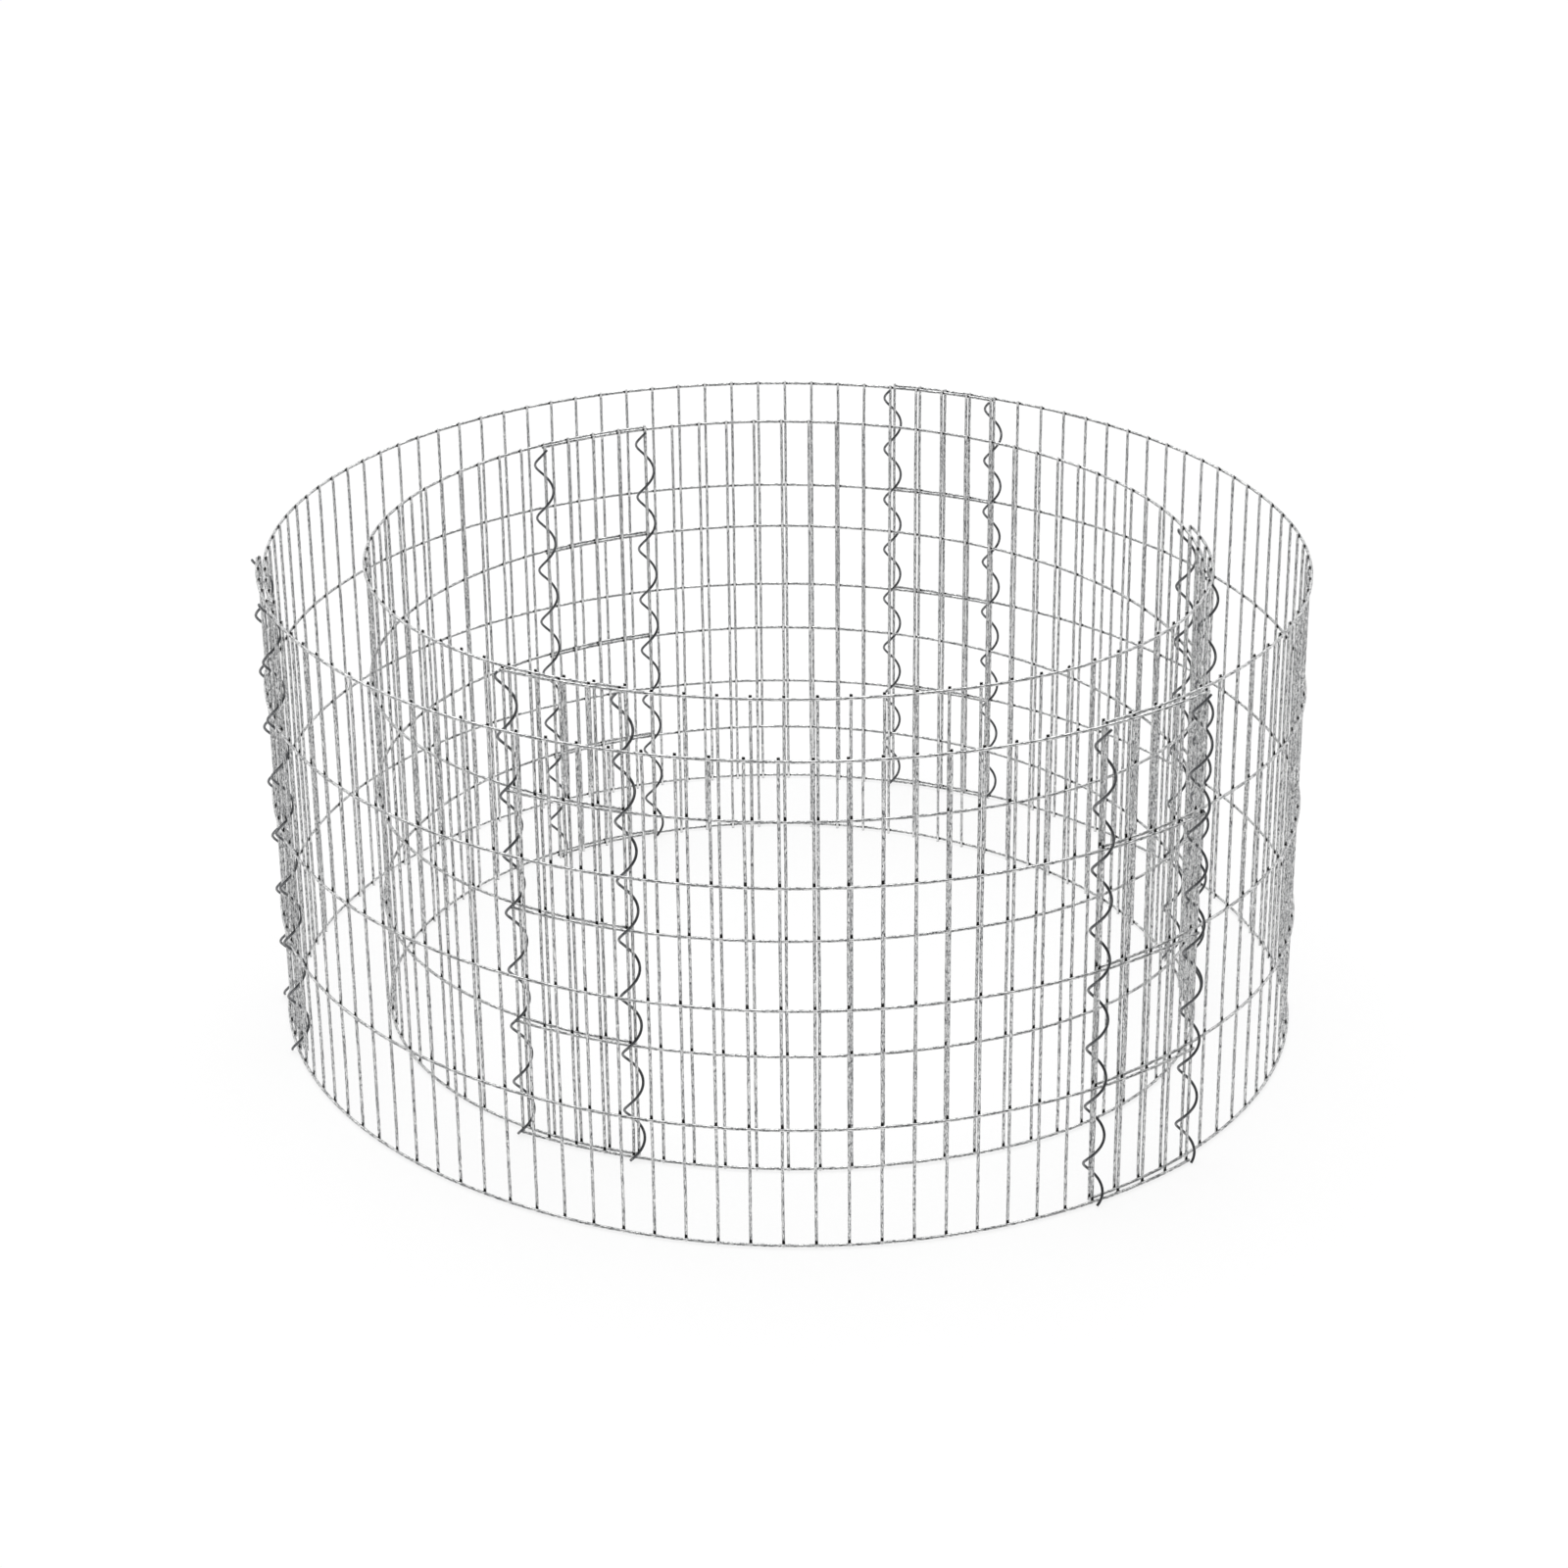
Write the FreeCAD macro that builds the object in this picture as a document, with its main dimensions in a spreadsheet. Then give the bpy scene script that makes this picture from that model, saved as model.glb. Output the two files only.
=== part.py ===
# A round planter gabion: two free-standing rings of welded wire mesh, one inside the other.
# Each ring is three bent mesh panels that overlap by a few cells, and a spiral of wire is
# wound down the mesh at both ends of each overlap. The stones go between the two rings.
# Millimetres, +Z up. The origin is the middle of the basket on the ground.
# Azimuths run counter-clockwise, seen from above, from +X. The front faces -Y.

import FreeCAD
import Part
import math
import os

V = FreeCAD.Vector
UP = V(0, 0, 1)
SIDES = 8                       # flats round a wire
RUNS = 16                       # straight runs in one turn of a spiral

# Driving sizes: name, value, meaning.
SIZES = [
    ("mesh_wire", 2.5, "diameter of the mesh wire"),
    ("weld_sink", 0.35, "depth that crossing wires melt into each other"),
    ("cell_width", 25.0, "distance between uprights"),
    ("cell_height", 100.0, "distance between level wires"),
    ("level_wires", 5, "level wires in a panel"),
    ("stub", 2.5, "how far an upright runs past the end level wire's centre"),
    ("wire_end", 1.5, "how far a level wire runs past the end upright's centre"),
    ("outer_cells", 40, "cells along an outer panel"),
    ("inner_cells", 32, "cells along an inner panel"),
    ("overlap_cells", 4, "cells by which neighbouring panels overlap"),
    ("outer_azimuth", 8.6, "degrees, middle of the outer ring's first panel"),
    ("inner_azimuth", 58.7, "degrees, middle of the inner ring's first panel"),
    ("spiral_wire", 2.3, "diameter of the binding wire"),
    ("spiral_radius", 7.7, "radius of the binding wire's centre line"),
    ("spiral_pitch", 50.0, "rise of a spiral in one turn"),
    ("spiral_lift", 0.2, "height of a spiral's lower end above the ground"),
    ("spiral_air", 0.2, "gap between a spiral and the upright it leans on"),
]

# Each ring closes on its cells: its length is that of its panels less their overlaps, and
# its panels stand a third of a turn apart. They were bent by hand, so each departs a little
# from the true circle. What it departs by: azimuth of its middle in degrees, distance of
# its middle from the origin, skew of its outward direction there in degrees, and bend
# radius of its first and second half, in the order of rising azimuth.
PANELS = [
    ("outer_panel_right", 0.0, -4.2, 2.9, -16.7, 51.3),
    ("outer_panel_back", 0.5, 4.8, 1.4, -27.7, -4.7),
    ("outer_panel_front", 1.3, -2.2, -2.5, 29.3, -1.7),
    ("inner_panel_back", 0.0, -15.2, 0.1, 32.8, 4.8),
    ("inner_panel_left", 0.9, 6.8, 0.6, -12.2, -23.2),
    ("inner_panel_front", 2.2, 3.8, -9.0, 96.8, -54.2),
]
PANELS_IN_RING = 3

# Overlaps: name, the panel that ends there, the panel that starts there (by rising
# azimuth), and whether the spirals pass the level wires outside (1) or inside (-1) them.
OVERLAPS = [
    ("outer_spiral_back", "outer_panel_right", "outer_panel_back", -1),
    ("outer_spiral_left", "outer_panel_back", "outer_panel_front", 1),
    ("outer_spiral_front", "outer_panel_front", "outer_panel_right", 1),
    ("inner_spiral_back", "inner_panel_back", "inner_panel_left", -1),
    ("inner_spiral_front", "inner_panel_left", "inner_panel_front", 1),
    ("inner_spiral_right", "inner_panel_front", "inner_panel_back", -1),
]

doc = FreeCAD.newDocument("gabion_basket")
sizes = doc.addObject("Spreadsheet::Sheet", "sizes")


def write_cell(row, name, value, note):
    """Put one driving size on a row of the sheet, with its name as the alias."""
    sizes.set("A%d" % row, name)
    sizes.set("B%d" % row, str(value))
    sizes.set("C%d" % row, note)
    sizes.setAlias("B%d" % row, name)


row = 1
for name, value, note in SIZES:
    write_cell(row, name, value, note)
    row += 1
for name, azimuth, distance, skew, first_bend, second_bend in PANELS:
    write_cell(row, name + "_azimuth", azimuth, "degrees, added to its third of a turn")
    write_cell(row + 1, name + "_distance", distance, "added to the ring's radius")
    write_cell(row + 2, name + "_skew", skew, "degrees, outward direction there")
    write_cell(row + 3, name + "_first_bend", first_bend, "added to the ring's radius")
    write_cell(row + 4, name + "_second_bend", second_bend, "added to the ring's radius")
    row += 5
doc.recompute()


def size(name):
    """The value of a driving size."""
    return float(sizes.get(name))


def count(name):
    """The value of a driving size that is a whole number."""
    return int(round(size(name)))


WIRE = size("mesh_wire")
CELL = size("cell_width")
ROWS = count("level_wires")
ROW_STEP = size("cell_height")
STUB = size("stub")
HEIGHT = 2 * STUB + (ROWS - 1) * ROW_STEP
SET_IN = WIRE - size("weld_sink")       # from a level wire's centre in to an upright's
CORNER = WIRE / 2 / math.cos(math.pi / SIDES)


def ring_of(panel):
    """Name of the ring a panel belongs to."""
    return panel.split("_")[0]


def cells(panel):
    """Number of cells along a panel."""
    return count(ring_of(panel) + "_cells")


def ring_radius(panel):
    """Radius of the circle that the panel's ring closes on."""
    free_cells = PANELS_IN_RING * (cells(panel) - count("overlap_cells"))
    return free_cells * CELL / (2 * math.pi)


def third_turn(panel):
    """Degrees from the first panel of the ring round to this one, before its own shift."""
    order = [name for name, *rest in PANELS if ring_of(name) == ring_of(panel)]
    return 360.0 / PANELS_IN_RING * order.index(panel)


def bent_point(panel, along, inward=0.0):
    """Point of a panel's level wire and its outward angle, in the panel's own frame.

    The frame has the panel's middle at its origin and +X outward. `along` is the length of
    wire from the middle, and `inward` moves the point towards the centre of the bend.
    """
    bend = ring_radius(panel) + size(panel + ("_first_bend" if along < 0 else "_second_bend"))
    turn = along / bend
    reach = bend - inward
    return V(reach * math.cos(turn) - bend, reach * math.sin(turn), 0), turn


def station(panel, index):
    """Length along the wire, from the panel's middle, of the upright with that index."""
    return (index - cells(panel) / 2) * CELL


def place(panel):
    """Placement of a panel's own frame in the basket."""
    azimuth = size(ring_of(panel) + "_azimuth") + third_turn(panel) + size(panel + "_azimuth")
    outward = V(math.cos(math.radians(azimuth)), math.sin(math.radians(azimuth)), 0)
    middle = outward * (ring_radius(panel) + size(panel + "_distance"))
    return FreeCAD.Placement(middle, FreeCAD.Rotation(UP, azimuth + size(panel + "_skew")))


def turned(angle):
    """Rotation about the vertical by an angle in radians."""
    return FreeCAD.Rotation(UP, math.degrees(angle))


def upright(panel, index):
    """One upright of a panel: a straight wire inside the level wires."""
    wire = doc.addObject("Part::Prism", "%s_upright_%02d" % (panel, index))
    wire.Polygon = SIDES
    wire.setExpression("Circumradius", "sizes.mesh_wire / 2 / cos(180deg / %d)" % SIDES)
    wire.setExpression("Height", "2 * sizes.stub + (sizes.level_wires - 1) * sizes.cell_height")
    centre, turn = bent_point(panel, station(panel, index), SET_IN)
    wire.Placement = FreeCAD.Placement(centre, turned(turn + math.pi / SIDES))
    return wire


def swept_wire(name, route, diameter):
    """A flat-sided wire along straight runs, mitred where they meet."""
    path = doc.addObject("Part::Feature", name + "_route")
    path.Shape = Part.makePolygon(route)
    section = doc.addObject("Part::RegularPolygon", name + "_section")
    section.Polygon = SIDES
    section.setExpression("Circumradius", "sizes.%s / 2 / cos(180deg / %d)" % (diameter, SIDES))
    facing = FreeCAD.Rotation(V(0, 0, 0), UP, route[1] - route[0], "ZYX")
    flat_out = FreeCAD.Rotation(UP, 180.0 / SIDES)
    section.Placement = FreeCAD.Placement(route[0], facing.multiply(flat_out))
    wire = doc.addObject("Part::Sweep", name)
    wire.Sections = [section]
    wire.Spine = (path, ["Edge%d" % (i + 1) for i in range(len(route) - 1)])
    wire.Solid = True
    wire.Frenet = False
    wire.Transition = "Right corner"
    return wire


def level_wire(panel, number):
    """One level wire of a panel: bent a little at each upright, welded outside them."""
    z = STUB + number * ROW_STEP
    stations = [station(panel, i) for i in range(cells(panel) + 1)]
    stations[0] -= size("wire_end")
    stations[-1] += size("wire_end")
    route = [bent_point(panel, s)[0] + V(0, 0, z) for s in stations]
    return swept_wire("%s_level_%d" % (panel, number), route, "mesh_wire")


def make_panel(panel):
    """One welded panel: its level wires and uprights fused, put in its place."""
    levels = [level_wire(panel, k) for k in range(ROWS)]
    uprights = [upright(panel, i) for i in range(cells(panel) + 1)]
    mesh = doc.addObject("Part::MultiFuse", panel)
    mesh.Label = panel
    mesh.Refine = False
    mesh.Shapes = levels + uprights
    mesh.Placement = place(panel)
    ring = ring_of(panel)
    turn = third_turn(panel)
    angle = "(sizes.%s_azimuth + sizes.%s_azimuth + %g) * 1deg" % (ring, panel, turn)
    reach = ("(%d * (sizes.%s_cells - sizes.overlap_cells) * sizes.cell_width / (2 * pi)"
             " + sizes.%s_distance)" % (PANELS_IN_RING, ring, panel))
    mesh.setExpression(".Placement.Base.x", "%s * cos(%s)" % (reach, angle))
    mesh.setExpression(".Placement.Base.y", "%s * sin(%s)" % (reach, angle))
    mesh.setExpression(".Placement.Rotation.Angle", "%s + sizes.%s_skew * 1deg" % (angle, panel))
    return mesh


def upright_centre(panel, index):
    """Centre of an upright's lower end, in the basket."""
    return place(panel).multVec(bent_point(panel, station(panel, index), SET_IN)[0])


def spiral_axis(first, second):
    """Axis of a spiral round two uprights, and the outward direction there.

    The spiral leans on the inner upright, and is centred on the pair sideways.
    """
    inner, outer = sorted((first, second), key=lambda centre: centre.Length)
    outward = (inner + outer).normalize()
    sideways = V(-outward.y, outward.x, 0)
    aside = (outer - inner).dot(sideways) / 2
    reach = size("spiral_radius") * math.cos(math.pi / RUNS)
    reach -= CORNER + size("spiral_wire") / 2 + size("spiral_air")
    return inner + sideways * aside + outward * math.sqrt(reach ** 2 - aside ** 2), outward


def make_spiral(name, first, second, facing):
    """One spiral round a pair of uprights, one of each panel."""
    axis, outward = spiral_axis(first, second)
    radius = size("spiral_radius")
    rise = size("spiral_pitch")
    low = size("spiral_wire") / 2 + size("spiral_lift")
    turns = math.floor((HEIGHT - 2 * low) / rise)
    start = math.atan2(outward.y, outward.x) + (0 if facing > 0 else math.pi)
    start -= 2 * math.pi * (STUB - low) / rise
    route = []
    for i in range(turns * RUNS + 1):
        angle = start + 2 * math.pi * i / RUNS
        step = V(math.cos(angle) * radius, math.sin(angle) * radius, low + rise * i / RUNS)
        route.append(axis + step)
    spiral = swept_wire(name, route, "spiral_wire")
    spiral.Label = name
    return spiral


pieces = [make_panel(panel[0]) for panel in PANELS]
doc.recompute()

for name, ending, starting, facing in OVERLAPS:
    span = count("overlap_cells")
    last = cells(ending)
    doc.recompute()
    for label, i, j in (("_a", last - span, 0), ("_b", last, span)):
        pair = upright_centre(ending, i), upright_centre(starting, j)
        pieces.append(make_spiral(name + label, pair[0], pair[1], facing))
doc.recompute()

for thing in doc.Objects:
    if "Invalid" in thing.State or "Error" in thing.State:
        raise RuntimeError("%s did not build: %s" % (thing.Name, thing.State))

os.makedirs("parts", exist_ok=True)
for piece in pieces:
    shape = piece.Shape
    if shape.isNull() or not shape.isValid():
        raise RuntimeError("%s has no valid shape" % piece.Label)
    if len(shape.Solids) != 1:
        raise RuntimeError("%s is %d solids" % (piece.Label, len(shape.Solids)))
    shape.exportStep("parts/%s.step" % piece.Label)
    box = shape.BoundBox
    print("%-20s %9.0f mm3, %5d faces, z %.2f to %.2f" % (piece.Label, shape.Volume,
          len(shape.Faces), box.ZMin, box.ZMax))
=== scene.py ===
import math

import bmesh
import bpy
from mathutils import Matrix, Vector, noise


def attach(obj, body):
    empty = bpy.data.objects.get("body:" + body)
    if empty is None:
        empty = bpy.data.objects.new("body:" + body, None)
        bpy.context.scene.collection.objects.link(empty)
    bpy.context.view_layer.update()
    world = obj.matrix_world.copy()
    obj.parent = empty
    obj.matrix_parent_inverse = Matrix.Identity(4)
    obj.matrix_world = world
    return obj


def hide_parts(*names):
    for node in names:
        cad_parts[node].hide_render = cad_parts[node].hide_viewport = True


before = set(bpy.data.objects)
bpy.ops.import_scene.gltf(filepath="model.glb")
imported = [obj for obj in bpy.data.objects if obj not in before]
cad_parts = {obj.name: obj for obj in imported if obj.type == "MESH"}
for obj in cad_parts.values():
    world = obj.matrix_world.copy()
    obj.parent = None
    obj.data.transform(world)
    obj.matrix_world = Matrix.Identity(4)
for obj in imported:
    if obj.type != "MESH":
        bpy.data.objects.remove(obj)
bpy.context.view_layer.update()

MM = 0.001
UP = Vector((0, 0, 1))

# Sizes of the real basket, in millimetres
WIRE = 2.5
WELD_SINK = 0.35                # how far two crossing wires sink into each other
CELL = 25.0
LEVELS = 5
LEVEL_STEP = 100.0
STUB = 2.5                      # from the outermost level wires to the uprights' ends
WIRE_END = 1.5                  # from the outermost uprights to the level wires' ends
HEIGHT = 2 * STUB + (LEVELS - 1) * LEVEL_STEP
SET_IN = WIRE - WELD_SINK       # from a level wire's centre in to an upright's
CELLS = {"outer": 40, "inner": 32}
OVERLAP = 4
PANELS_ROUND = 3
COIL_WIRE = 2.3
COIL_RADIUS = 7.7
COIL_PITCH = 50.0
COIL_LIFT = 0.2                 # between the ground and a spiral's lower end
COIL_AIR = 0.2                  # least gap between a spiral and the uprights that it holds
COIL_TURNS = 8
BURN_AND_SHADE_RISE = 1.3                 # middle of a weld's burn and its painted crevice shade, above its level wire's centre

# The CAD solids' wires have eight sides and their spirals sixteen runs a turn. A spiral's
# place follows from them
SOLID_SIDES = 8
SOLID_RUNS = 16

# Each ring closes on its cells, and its panels stand a third of a turn apart. For a panel:
# which third it is, how far its middle departs in azimuth and in distance, its skew, and
# how far its bend radius departs on either side of the middle
FIRST_AZIMUTH = {"outer": 8.6, "inner": 58.7}
PANELS = {
    "outer_panel_right": (0, 0.0, -4.2, 2.9, -16.7, 51.3),
    "outer_panel_back": (1, 0.5, 4.8, 1.4, -27.7, -4.7),
    "outer_panel_front": (2, 1.3, -2.2, -2.5, 29.3, -1.7),
    "inner_panel_back": (0, 0.0, -15.2, 0.1, 32.8, 4.8),
    "inner_panel_left": (1, 0.9, 6.8, 0.6, -12.2, -23.2),
    "inner_panel_front": (2, 2.2, 3.8, -9.0, 96.8, -54.2),
}
# Overlaps: the panel that ends, the panel that starts, and the spirals' side at the levels
OVERLAPS = {
    "outer_spiral_back": ("outer_panel_right", "outer_panel_back", -1),
    "outer_spiral_left": ("outer_panel_back", "outer_panel_front", 1),
    "outer_spiral_front": ("outer_panel_front", "outer_panel_right", 1),
    "inner_spiral_back": ("inner_panel_back", "inner_panel_left", -1),
    "inner_spiral_front": ("inner_panel_left", "inner_panel_front", 1),
    "inner_spiral_right": ("inner_panel_front", "inner_panel_back", -1),
}

# Mesh of a wire. Its cut end has a chamfer with a point between, which makes it round
WIRE_SIDES = 12
CHAMFER = 0.25
CHAMFER_POINT = (0.4, 0.35)     # how far along the chamfer, and the share of its depth there
END_POINTS = 3
SLIMMER = 0.02                  # off a level wire's or a spiral's radius, to stay in its solid
LEVEL_INSET = (0.02, 0.08)      # a level wire's shift inwards, at an upright and between two
WELD_HEIGHTS = (-1.9, 0, BURN_AND_SHADE_RISE, 3.0, 4.6)   # points of an upright, from a level wire
FREE_HEIGHTS = (0.12, 0.3, 0.5, 0.7, 0.88)      # its other points, as shares of a level
COIL_RUNS = 32                  # of a spiral's turn

# How far a wire strays between its welds, and what tells its drift from the next wire's
DRIFT, DRIFT_SEED = 0.5, 1.7    # of an upright, sideways
LEAN, LEAN_SEED = 0.35, 2.3     # of an upright, inwards
WAVE, WAVE_SEED = 0.25, 5.1     # of a level wire, up and down
DRIFT_EASE = 5                  # it is full from a fifth of a level away from the welds
DRIFT_SCALE = 0.011             # its waves a millimetre of wire
DRIFT_ROW = 3.7                 # where in the noise it is read
PANEL_KEYS = 97
SPIRAL_KEYS = 89
LEVEL_KEY = 50                  # sets the level wires apart from the uprights
GRAIN_SHIFT = (7.3, 11.9)       # of the grain from wire to wire, across and along

# A weld's nugget: half its size along the level wire, upwards and outwards
NUGGET = (1.65, 1.5, 0.8)
NUGGET_ROWS = 4
NUGGET_SIDES = 8
LUMPS = 0.22                    # how uneven it is, as a share of its size
LUMP_SCALE = 0.8
LUMP_SEED = 0.37

# Noises of the zinc: patches a millimetre in x, y and along a wire, detail and roughness
GRAINS = ((0.8, 0.8, 0.62), 4.0, 0.65)
STREAKS = ((1.3, 1.3, 0.3), 2.0, 0.55)
PATCHES = ((0.05, 0.05, 0.05), 2.0, 0.55)
TONE_STEPS = (0.4, 0.5, 0.6)    # noise at which the dark, middle and light tones lie
GLOSS_STEPS = (0.35, 0.65)
PATCH_TONES = [(0.35, 0.86), (0.65, 1.08)]
BUMP = 0.3
BUMP_DEPTH = 0.15 * MM

# A weld's colours: the burnt zinc round it, darkened further as painted shade of the crevice
# between the crossing wires, and the spots that the electrodes pressed flat, painted bright as
# a highlight.
# Pairs say from where to where a spot fades in, in millimetres off the weld
BURN_AND_SHADE = (2.9, 2.8, 0.95)         # reach of the burnt zinc and painted crevice shade along the level wire, up and in
BURN_AND_SHADE_EDGE = (1.05, 0.8)         # as shares of that reach
BURN_AND_SHADE_RAGGED = 0.9               # how far the grain moves that edge
# near-black of burnt zinc, deepened as painted shade of the crevice at each weld
BURNT_AND_SHADED = (0.012, 0.012, 0.012)
# near-white spots where the electrodes pressed the wires flat, painted bright as a highlight
PRESSED_AND_HIGHLIGHT = (0.85, 0.85, 0.85)
PRESSED_HIGHLIGHT_ALONG = (2.3, 1.2)
PRESSED_HIGHLIGHT_UP = (3.6, 2.6)
PRESSED_HIGHLIGHT_IN = (1.5, 2.0)

# Floor, surroundings and light
WHITE = (1.0, 1.0, 1.0)
FLOOR_SIZE = 14.0
FLOOR_COLOUR = (0.6, 0.6, 0.6)  # where it isn't seen as white
FLOOR_GLOW = 0.8                # share of the white that no shadow reaches
SKY = (0.33, 0.33, 0.33)
DIM_ROOM = (0.12, 0.12, 0.12)
BACKDROP_SIDE = (-0.2, 0.5)     # where the backdrop fades in, from the front to the back
BACKDROP_TOP = (0.95, 0.6)      # and from overhead down
SUN_WIDTH = 80
SUN_STRENGTH = 2.45
SUN_AIM = Vector((0.06, -0.25, -1.0))

# Camera, at the photograph's viewing angle
LENS = 81.26
SENSOR = 36.0
FARTHEST = 50.0
CAMERA_PLACE = (0.014573, -2.725202, 1.423718)
CAMERA_TURN = (65.6199, 0.53835, 0.05284)

cam_data = bpy.data.cameras.new("camera")
cam_data.sensor_width = SENSOR
cam_data.lens = LENS
cam_data.clip_end = FARTHEST
cam = bpy.data.objects.new("camera", cam_data)
cam.location = CAMERA_PLACE
cam.rotation_euler = [math.radians(a) for a in CAMERA_TURN]
bpy.context.collection.objects.link(cam)
bpy.context.scene.camera = cam


# Where the wires are

def ring_of(panel):
    return panel.split("_")[0]


def cells(panel):
    return CELLS[ring_of(panel)]


def station(panel, index):
    """How far along a panel an upright stands, from the panel's middle."""
    return (index - cells(panel) / 2) * CELL


def bent_point(panel, along, inward=0.0, z=0.0):
    """Point on a panel in the basket's frame, and the outward direction there."""
    third, shift, distance, skew, first, second = PANELS[panel]
    azimuth = FIRST_AZIMUTH[ring_of(panel)] + third * 360 / PANELS_ROUND + shift
    radius = PANELS_ROUND * (cells(panel) - OVERLAP) * CELL / (2 * math.pi)
    distance += radius
    bend = radius + (first if along < 0 else second)
    turn = along / bend
    heading = math.radians(azimuth + skew)
    middle = Vector((math.cos(math.radians(azimuth)), math.sin(math.radians(azimuth)), 0))
    centre = middle * distance - Vector((math.cos(heading), math.sin(heading), 0)) * bend
    outward = Vector((math.cos(heading + turn), math.sin(heading + turn), 0))
    return centre + outward * (bend - inward) + UP * z, outward


# Wire building

def key_of(name, keys):
    """A number that tells a piece's drift and grain from the other pieces'."""
    return sum(ord(c) for c in name) % keys


def new_mesh():
    """An empty mesh whose points keep where they lie on a wire and off the nearest weld."""
    mesh = bmesh.new()
    mesh.verts.layers.float_vector.new("grain")
    mesh.verts.layers.float_vector.new("off_weld")
    return mesh


def tube(mesh, route, radii, seed):
    """Adds a round wire through the points of a route, with one radius a point."""
    grain = mesh.verts.layers.float_vector["grain"]
    rings = []
    side = None
    length = 0.0
    for i, point in enumerate(route):
        ahead = route[min(i + 1, len(route) - 1)] - route[max(i - 1, 0)]
        ahead.normalize()
        if side is None:
            side = ahead.orthogonal()
        else:
            length += (point - route[i - 1]).length
        side = (side - ahead * side.dot(ahead)).normalized()
        other = ahead.cross(side)
        ring = []
        for k in range(WIRE_SIDES):
            a = 2 * math.pi * k / WIRE_SIDES
            across = side * math.cos(a) + other * math.sin(a)
            vertex = mesh.verts.new((point + across * radii[i]) * MM)
            vertex[grain] = (math.cos(a) * WIRE / 2 + seed * GRAIN_SHIFT[0],
                             math.sin(a) * WIRE / 2, length + seed * GRAIN_SHIFT[1])
            ring.append(vertex)
        rings.append(ring)
    for a, b in zip(rings, rings[1:]):
        for k in range(WIRE_SIDES):
            n = (k + 1) % WIRE_SIDES
            mesh.faces.new((a[k], a[n], b[n], b[k])).smooth = True
    mesh.faces.new(list(reversed(rings[0])))
    mesh.faces.new(rings[-1])
    return rings


def cut_ends(route, radius):
    """Route and radii of a wire whose cut ends have a small rounded edge."""
    a, b = route[0], route[-1]
    da = (route[1] - a).normalized()
    db = (route[-2] - b).normalized()
    along, depth = CHAMFER_POINT
    points = [a, a + da * CHAMFER * along, a + da * CHAMFER] + route[1:-1]
    points += [b + db * CHAMFER, b + db * CHAMFER * along, b]
    end = [radius - CHAMFER, radius - CHAMFER * depth]
    return points, end + [radius] * (len(points) - 2 * len(end)) + end[::-1]


def nugget(mesh, centre, outward):
    """Adds a squashed blob of melted metal where two wires cross."""
    grain = mesh.verts.layers.float_vector["grain"]
    weld = mesh.verts.layers.float_vector["off_weld"]
    along = UP.cross(outward)
    seed = centre * LUMP_SEED

    def point(d):
        vertex = mesh.verts.new((centre + d) * MM)
        vertex[grain] = centre + d
        vertex[weld] = (abs(d.dot(along)), abs(d.z - BURN_AND_SHADE_RISE), abs(d.dot(outward)))
        return vertex

    rings = []
    for i in range(1, NUGGET_ROWS):
        lat = math.pi * i / NUGGET_ROWS
        ring = []
        for k in range(NUGGET_SIDES):
            lon = 2 * math.pi * k / NUGGET_SIDES
            d = (along * math.cos(lon) * math.sin(lat) * NUGGET[0]
                 + UP * math.sin(lon) * math.sin(lat) * NUGGET[1]
                 + outward * math.cos(lat) * NUGGET[2])
            ring.append(point(d * (1 + LUMPS * noise.noise(seed + d * LUMP_SCALE))))
        rings.append(ring)
    top = point(outward * NUGGET[2])
    bottom = point(outward * -NUGGET[2])
    for k in range(NUGGET_SIDES):
        n = (k + 1) % NUGGET_SIDES
        mesh.faces.new((top, rings[0][k], rings[0][n])).smooth = True
        mesh.faces.new((bottom, rings[-1][n], rings[-1][k])).smooth = True
        for a, b in zip(rings, rings[1:]):
            mesh.faces.new((a[k], b[k], b[n], a[n])).smooth = True


def wander(seed, s, amount):
    """A slow sideways drift of a wire, by the length along it."""
    return amount * noise.noise(Vector((seed, s * DRIFT_SCALE, DRIFT_ROW)))


def finish_piece(name, mesh, material, slot_name, *nodes):
    """Makes an object of a mesh, in place of CAD nodes."""
    data = bpy.data.meshes.new(name)
    mesh.normal_update()
    mesh.to_mesh(data)
    mesh.free()
    obj = bpy.data.objects.new(name, data)
    bpy.context.collection.objects.link(obj)
    data.materials.append(material)
    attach(obj, "root")
    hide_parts(*nodes)


def add_uprights(mesh, panel, key, levels):
    """Adds a panel's uprights, given the heights of its level wires."""
    weld = mesh.verts.layers.float_vector["off_weld"]
    heights = {0.0, HEIGHT}
    for z in levels:
        heights.update(z + d for d in WELD_HEIGHTS)
        heights.update(z + LEVEL_STEP * f for f in FREE_HEIGHTS)
    heights = sorted(z for z in heights if 0 <= z <= HEIGHT)
    for i in range(cells(panel) + 1):
        foot, outward = bent_point(panel, station(panel, i), SET_IN)
        along = UP.cross(outward)
        route = []
        for z in heights:
            free = max(0, min(abs(z - c) for c in levels) - STUB) / LEVEL_STEP
            ease = min(1, free * DRIFT_EASE)
            drift = wander(key + i * DRIFT_SEED, z, DRIFT) * ease
            lean = wander(key * 2 + i * LEAN_SEED, z, LEAN) * ease
            route.append(foot + along * drift - outward * abs(lean) + UP * z)
        points, radii = cut_ends(route, WIRE / 2)
        for ring in tube(mesh, points, radii, key + i):
            for vertex in ring:
                d = vertex.co / MM - foot
                rise = min(abs(d.z - c - BURN_AND_SHADE_RISE) for c in levels)
                vertex[weld] = (abs(d.dot(along)), rise, abs(SET_IN / 2 - d.dot(outward)))


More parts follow.
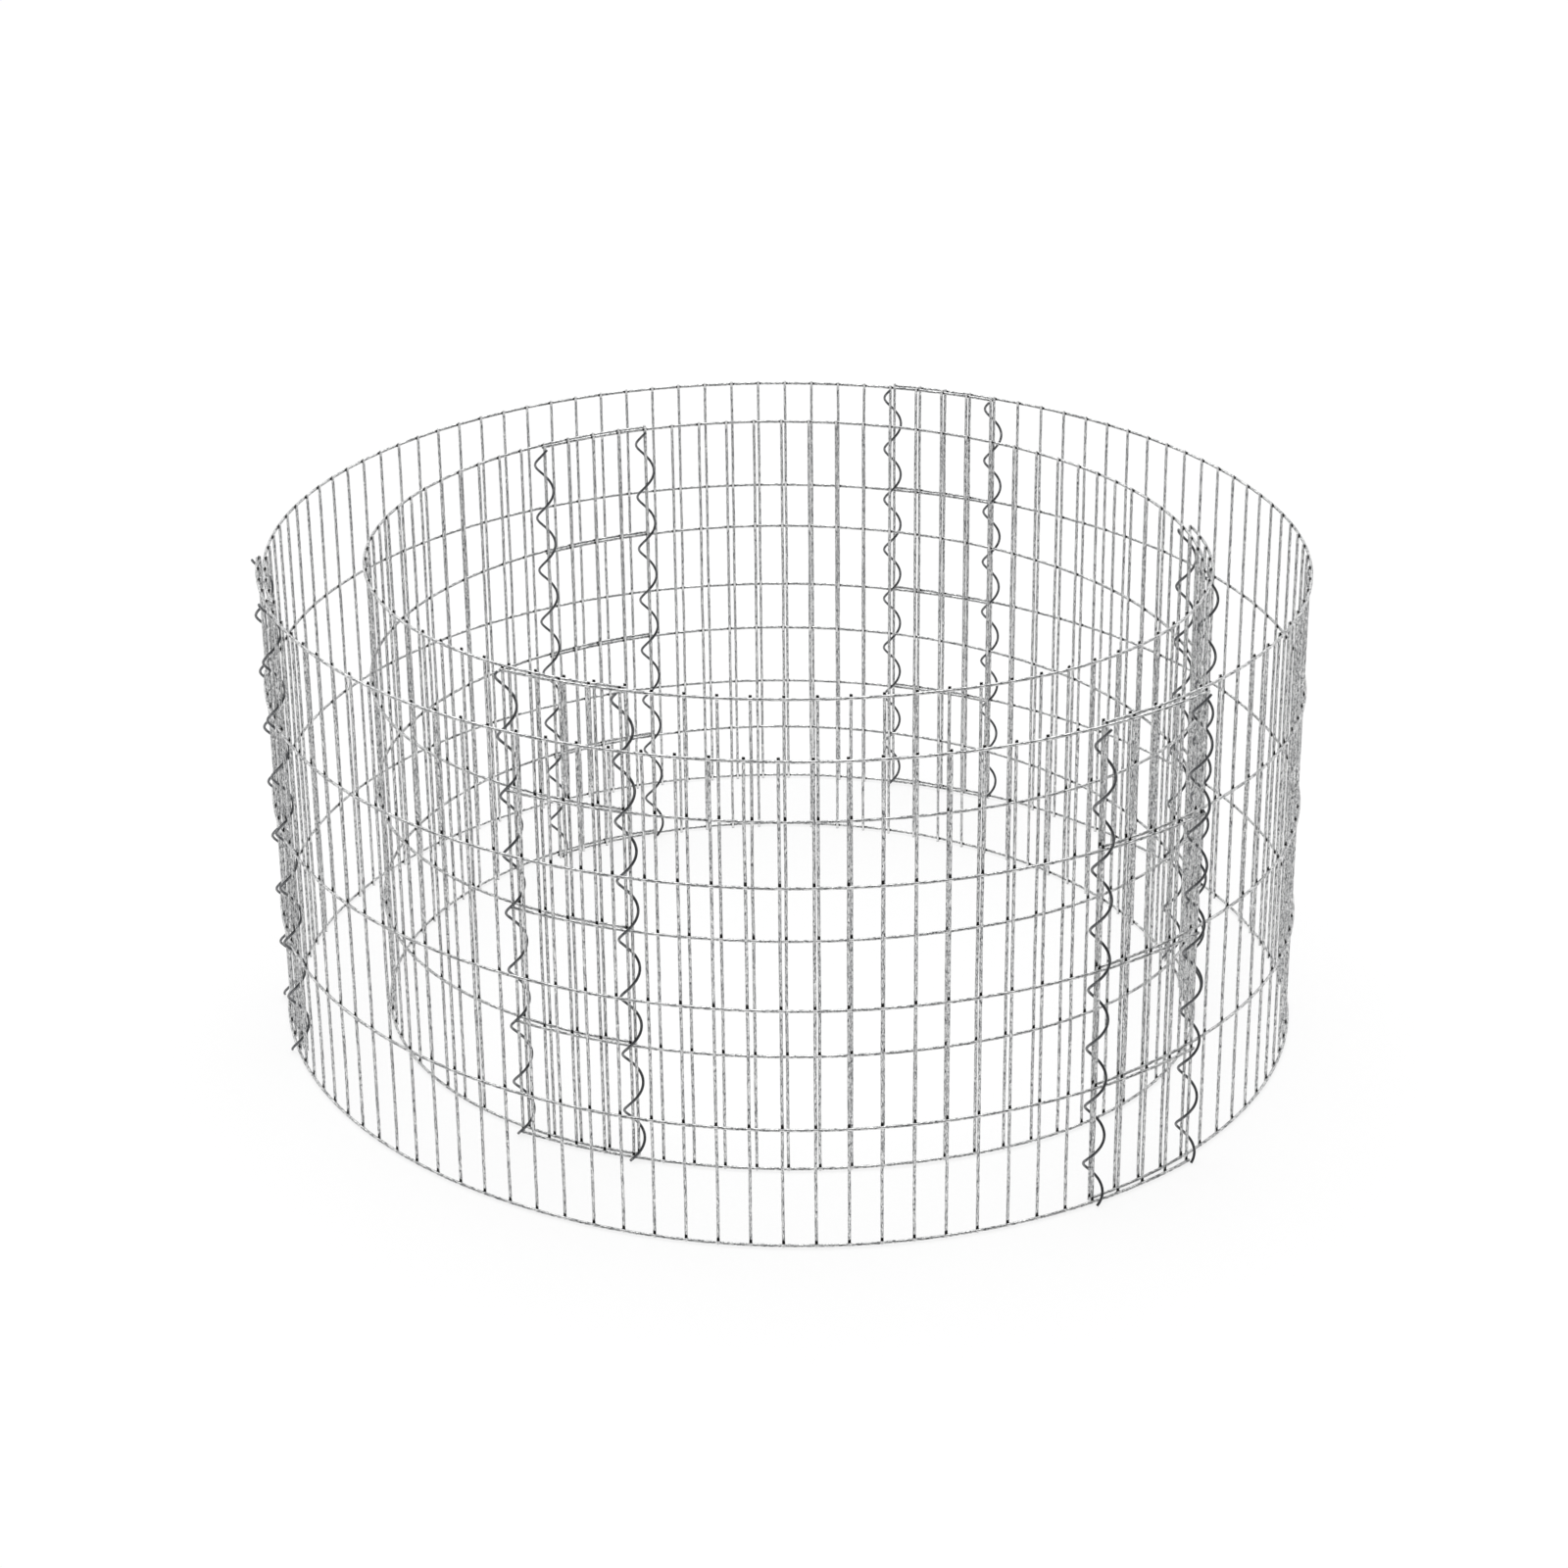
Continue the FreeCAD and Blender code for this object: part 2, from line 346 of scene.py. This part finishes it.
def add_level_wire(mesh, panel, key, k, z):
    """Adds the level wire number k, at height z, with its weld nuggets."""
    weld = mesh.verts.layers.float_vector["off_weld"]
    number = cells(panel)
    marks = [station(panel, j / 2) for j in range(number * 2 + 1)]
    marks[0] -= WIRE_END
    marks[-1] += WIRE_END
    route = []
    for j, along in enumerate(marks):
        wave = wander(key + k * WAVE_SEED, along, WAVE) if j % 2 else 0
        route.append(bent_point(panel, along, LEVEL_INSET[j % 2], z + wave)[0])
    points, radii = cut_ends(route, WIRE / 2 - SLIMMER)
    marks = [marks[0]] * END_POINTS + marks[1:-1] + [marks[-1]] * END_POINTS
    for ring, along in zip(tube(mesh, points, radii, key + LEVEL_KEY + k), marks):
        centre, outward = bent_point(panel, along, 0, z)
        index = min(max(round(along / CELL + number / 2), 0), number)
        for vertex in ring:
            d = vertex.co / MM - centre
            vertex[weld] = (abs(along - station(panel, index)), abs(d.z - BURN_AND_SHADE_RISE),
                            abs(SET_IN / 2 + d.dot(outward)))
    for i in range(number + 1):
        spot, outward = bent_point(panel, station(panel, i), SET_IN / 2, z)
        nugget(mesh, spot, outward)


def build_panel(panel, material):
    mesh = new_mesh()
    key = key_of(panel, PANEL_KEYS)
    levels = [STUB + k * LEVEL_STEP for k in range(LEVELS)]
    add_uprights(mesh, panel, key, levels)
    for k, z in enumerate(levels):
        add_level_wire(mesh, panel, key, k, z)
    finish_piece("mesh_" + panel, mesh, material, "mesh_wire", panel)


def build_spiral(name, first, second, facing, material):
    """A spiral round two uprights, one of each panel, whose centres are given."""
    inner, outer = sorted((first, second), key=lambda centre: centre.length)
    outward = (inner + outer).normalized()
    sideways = Vector((-outward.y, outward.x, 0))
    aside = (outer - inner).dot(sideways) / 2
    upright = WIRE / 2 / math.cos(math.pi / SOLID_SIDES)
    reach = COIL_RADIUS * math.cos(math.pi / SOLID_RUNS) - upright
    reach -= COIL_WIRE / 2 + COIL_AIR
    axis = inner + sideways * aside + outward * math.sqrt(reach ** 2 - aside ** 2)
    low = COIL_WIRE / 2 + COIL_LIFT
    start = math.atan2(outward.y, outward.x) + (0 if facing > 0 else math.pi)
    start -= 2 * math.pi * (STUB - low) / COIL_PITCH
    route = []
    for i in range(COIL_TURNS * COIL_RUNS + 1):
        a = start + 2 * math.pi * i / COIL_RUNS
        route.append(axis + Vector((math.cos(a) * COIL_RADIUS, math.sin(a) * COIL_RADIUS,
                                    low + COIL_PITCH * i / COIL_RUNS)))
    mesh = new_mesh()
    points, radii = cut_ends(route, COIL_WIRE / 2 - SLIMMER)
    tube(mesh, points, radii, key_of(name, SPIRAL_KEYS))
    finish_piece("coil_" + name, mesh, material, "spiral_wire", name)


# Materials

def nodes_of(name):
    """A new material, its node tree and its shader."""
    material = bpy.data.materials.new(name)
    material.use_nodes = True
    tree = material.node_tree
    return material, tree, tree.nodes["Principled BSDF"]


def link(tree, a, b):
    tree.links.new(a, b)


def ramp(tree, source, stops):
    """Tones by a value, each stop its position and its grey or colour."""
    node = tree.nodes.new("ShaderNodeValToRGB")
    link(tree, source, node.inputs[0])
    while len(node.color_ramp.elements) < len(stops):
        node.color_ramp.elements.new(0.5)
    for element, (position, value) in zip(node.color_ramp.elements, stops):
        element.position = position
        element.color = (*value, 1) if isinstance(value, tuple) else (value, value, value, 1)
    return node.outputs[0]


def scaled(tree, coords, scale):
    node = tree.nodes.new("ShaderNodeVectorMath")
    node.operation = "MULTIPLY"
    link(tree, coords, node.inputs[0])
    node.inputs[1].default_value = scale
    return node.outputs[0]


def noise_of(tree, coords, scale, detail, roughness):
    node = tree.nodes.new("ShaderNodeTexNoise")
    node.inputs["Scale"].default_value = 1.0
    node.inputs["Detail"].default_value = detail
    node.inputs["Roughness"].default_value = roughness
    link(tree, scaled(tree, coords, scale), node.inputs["Vector"])
    return node.outputs["Fac"]


def smooth(tree, value, low, high):
    """0 at `low` and 1 at `high`, eased between them."""
    node = tree.nodes.new("ShaderNodeMapRange")
    node.interpolation_type = "SMOOTHSTEP"
    link(tree, value, node.inputs["Value"])
    node.inputs["From Min"].default_value = low
    node.inputs["From Max"].default_value = high
    return node.outputs[0]


def maths(tree, operation, a, b):
    node = tree.nodes.new("ShaderNodeMath")
    node.operation = operation
    for value, socket in ((a, node.inputs[0]), (b, node.inputs[1])):
        if isinstance(value, float):
            socket.default_value = value
        else:
            link(tree, value, socket)
    return node.outputs[0]


def attribute(tree, name):
    node = tree.nodes.new("ShaderNodeAttribute")
    node.attribute_name = name
    return node.outputs["Vector"]


def mix(tree, mode, factor, a, b):
    node = tree.nodes.new("ShaderNodeMix")
    node.data_type = "RGBA"
    node.blend_type = mode
    if isinstance(factor, float):
        node.inputs["Factor"].default_value = factor
    else:
        link(tree, factor, node.inputs["Factor"])
    for value, socket in ((a, node.inputs["A"]), (b, node.inputs["B"])):
        if isinstance(value, tuple):
            socket.default_value = (*value, 1)
        else:
            link(tree, value, socket)
    return node.outputs["Result"]


def with_welds(tree, colour, grains):
    """A wire's colour, with its welds' marks over it: spots that the electrodes pressed,
    painted bright as a highlight, and burnt zinc, partly painted shade of the crevice where
    the wires cross.
    """
    off = attribute(tree, "off_weld")
    parts = tree.nodes.new("ShaderNodeSeparateXYZ")
    link(tree, off, parts.inputs[0])
    # spots on the far faces of each crossing, where the electrodes pressed, painted bright as
    # a highlight
    pressed_highlight = maths(tree, "MULTIPLY", smooth(tree, parts.outputs["Z"], *PRESSED_HIGHLIGHT_IN),
                    smooth(tree, parts.outputs["X"], *PRESSED_HIGHLIGHT_ALONG))
    pressed_highlight = maths(tree, "MULTIPLY", pressed_highlight, smooth(tree, parts.outputs["Y"], *PRESSED_HIGHLIGHT_UP))
    colour = mix(tree, "MIX", pressed_highlight, colour, PRESSED_AND_HIGHLIGHT)
    # burnt zinc and painted crevice shade, centred just above the level wire and round the
    # wires' contact
    reach = tree.nodes.new("ShaderNodeVectorMath")
    reach.operation = "LENGTH"
    link(tree, scaled(tree, off, tuple(1 / r for r in BURN_AND_SHADE)), reach.inputs[0])
    ragged = maths(tree, "MULTIPLY", maths(tree, "SUBTRACT", grains, 0.5), BURN_AND_SHADE_RAGGED)
    edge = maths(tree, "ADD", reach.outputs["Value"], ragged)
    return mix(tree, "MIX", smooth(tree, edge, *BURN_AND_SHADE_EDGE), colour, BURNT_AND_SHADED)


def zinc(name, tones, metallic, gloss, welds):
    """Hot-dipped zinc on drawn wire: mottled grains, and short streaks along the wire.

    Tones are its dark, middle and light colours, and gloss is its roughness in the dark
    and in the light grains."""
    material, tree, shader = nodes_of(name)
    place = attribute(tree, "grain")
    grains = noise_of(tree, place, *GRAINS)
    streaks = noise_of(tree, place, *STREAKS)
    patches = noise_of(tree, place, *PATCHES)
    both = maths(tree, "ADD", maths(tree, "MULTIPLY", grains, 0.5),
                 maths(tree, "MULTIPLY", streaks, 0.5))
    colour = mix(tree, "MULTIPLY", 1.0, ramp(tree, both, list(zip(TONE_STEPS, tones))),
                 ramp(tree, patches, PATCH_TONES))
    if welds:
        colour = with_welds(tree, colour, grains)
    link(tree, colour, shader.inputs["Base Color"])
    shader.inputs["Metallic"].default_value = metallic
    link(tree, ramp(tree, both, list(zip(GLOSS_STEPS, gloss))), shader.inputs["Roughness"])
    bump = tree.nodes.new("ShaderNodeBump")
    bump.inputs["Strength"].default_value = BUMP
    bump.inputs["Distance"].default_value = BUMP_DEPTH
    link(tree, both, bump.inputs["Height"])
    link(tree, bump.outputs[0], shader.inputs["Normal"])
    return material


mesh_zinc = zinc("zinc_mesh", welds=True, metallic=0.75, gloss=(0.36, 0.22),
                 tones=((0.10, 0.104, 0.108), (0.55, 0.555, 0.56), (0.92, 0.92, 0.91)))
coil_zinc = zinc("zinc_spiral", welds=False, metallic=0.9, gloss=(0.34, 0.22),
                 tones=((0.065, 0.07, 0.078), (0.135, 0.14, 0.148), (0.30, 0.30, 0.30)))

for panel in PANELS:
    build_panel(panel, mesh_zinc)
for name, (ending, starting, facing) in OVERLAPS.items():
    for label, i, j in (("_a", cells(ending) - OVERLAP, 0), ("_b", cells(ending), OVERLAP)):
        build_spiral(name + label, bent_point(ending, station(ending, i), SET_IN)[0],
                     bent_point(starting, station(starting, j), SET_IN)[0], facing, coil_zinc)


# Floor, seen as white by the camera and in the wires' gloss

def seen_as_white(tree, gloss):
    """1 for rays of the camera and rays through glass, and for those of gloss where asked."""
    rays = tree.nodes.new("ShaderNodeLightPath").outputs
    seen = maths(tree, "MAXIMUM", rays["Is Camera Ray"], rays["Is Transmission Ray"])
    return maths(tree, "MAXIMUM", seen, rays["Is Glossy Ray"]) if gloss else seen


floor_mesh = bmesh.new()
bmesh.ops.create_grid(floor_mesh, x_segments=1, y_segments=1, size=FLOOR_SIZE)
floor_data = bpy.data.meshes.new("floor")
floor_mesh.to_mesh(floor_data)
floor_mesh.free()
floor = bpy.data.objects.new("floor", floor_data)
bpy.context.collection.objects.link(floor)
floor_material, tree, shader = nodes_of("floor")
seen = seen_as_white(tree, gloss=True)
link(tree, mix(tree, "MIX", seen, FLOOR_COLOUR, WHITE), shader.inputs["Base Color"])
shader.inputs["Roughness"].default_value = 1.0
shader.inputs["Specular IOR Level"].default_value = 0.0
glow = tree.nodes.new("ShaderNodeEmission")
glow.inputs["Strength"].default_value = 1.0
blend = tree.nodes.new("ShaderNodeMixShader")
link(tree, maths(tree, "MULTIPLY", seen, FLOOR_GLOW), blend.inputs[0])
link(tree, shader.outputs[0], blend.inputs[1])
link(tree, glow.outputs[0], blend.inputs[2])
link(tree, blend.outputs[0], tree.nodes["Material Output"].inputs["Surface"])
floor_data.materials.append(floor_material)

# World, white to the camera. The wires' gloss sees a white backdrop behind the basket, and a
# dim room in front and overhead
world = bpy.data.worlds.new("world")
bpy.context.scene.world = world
world.use_nodes = True
sky = world.node_tree
background = sky.nodes["Background"]
background.inputs["Strength"].default_value = 1.0
towards = sky.nodes.new("ShaderNodeSeparateXYZ")
link(sky, sky.nodes.new("ShaderNodeTexCoord").outputs["Generated"], towards.inputs[0])
backdrop = maths(sky, "MULTIPLY", smooth(sky, towards.outputs["Y"], *BACKDROP_SIDE),
                 smooth(sky, towards.outputs["Z"], *BACKDROP_TOP))
room = mix(sky, "MIX", backdrop, DIM_ROOM, WHITE)
glossy = sky.nodes.new("ShaderNodeLightPath").outputs["Is Glossy Ray"]
unseen = mix(sky, "MIX", glossy, SKY, room)
link(sky, mix(sky, "MIX", seen_as_white(sky, gloss=False), unseen, WHITE),
     background.inputs["Color"])

# Soft light from above
light_data = bpy.data.lights.new("top_light", "SUN")
light_data.angle = math.radians(SUN_WIDTH)
light_data.energy = SUN_STRENGTH
top_light = bpy.data.objects.new("top_light", light_data)
top_light.rotation_euler = SUN_AIM.to_track_quat("-Z", "Y").to_euler()
bpy.context.collection.objects.link(top_light)

bpy.context.scene.view_settings.view_transform = "Standard"
